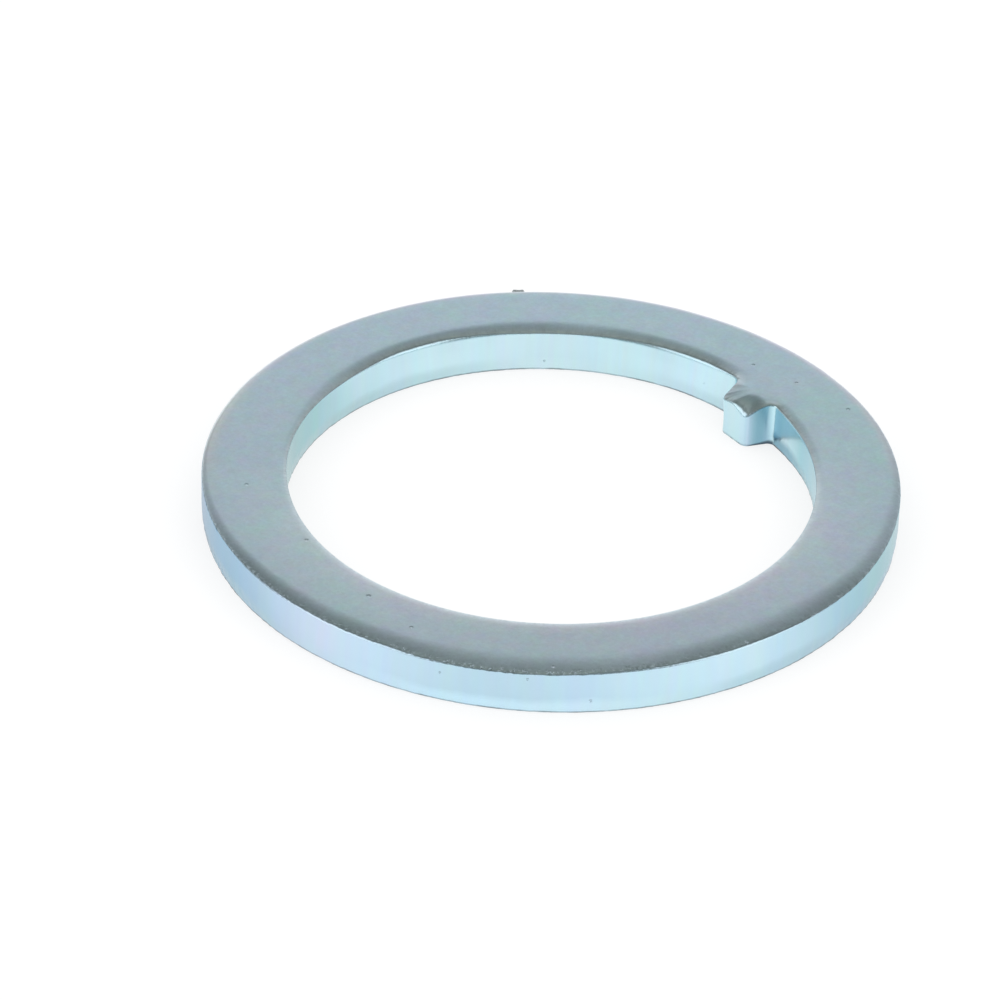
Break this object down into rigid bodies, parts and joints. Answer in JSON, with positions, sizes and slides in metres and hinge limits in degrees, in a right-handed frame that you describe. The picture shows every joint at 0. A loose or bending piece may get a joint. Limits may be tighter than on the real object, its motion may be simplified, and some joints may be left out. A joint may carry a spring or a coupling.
{
  "type": "headset washer",
  "caption": "Flat steel ring with a short key pointing into its bore; it sits round a steering stem and cannot turn on it.",
  "frame": {"origin": "on the bore's axis, at the bottom face, on which the washer lies", "axes": "+Z along the bore's axis, towards the face with the rolled edges; +X towards the key; +Y completes the right-handed set"},
  "size_m": [0.0462, 0.0462, 0.0032],
  "materials": {
    "zinc_plate": "bright zinc plate with a faint blue cast over blanked steel: satin flat faces, smoother walls"
  },
  "bodies": {
    "root": {"washer": "zinc_plate"}
  },
  "joints": []
}
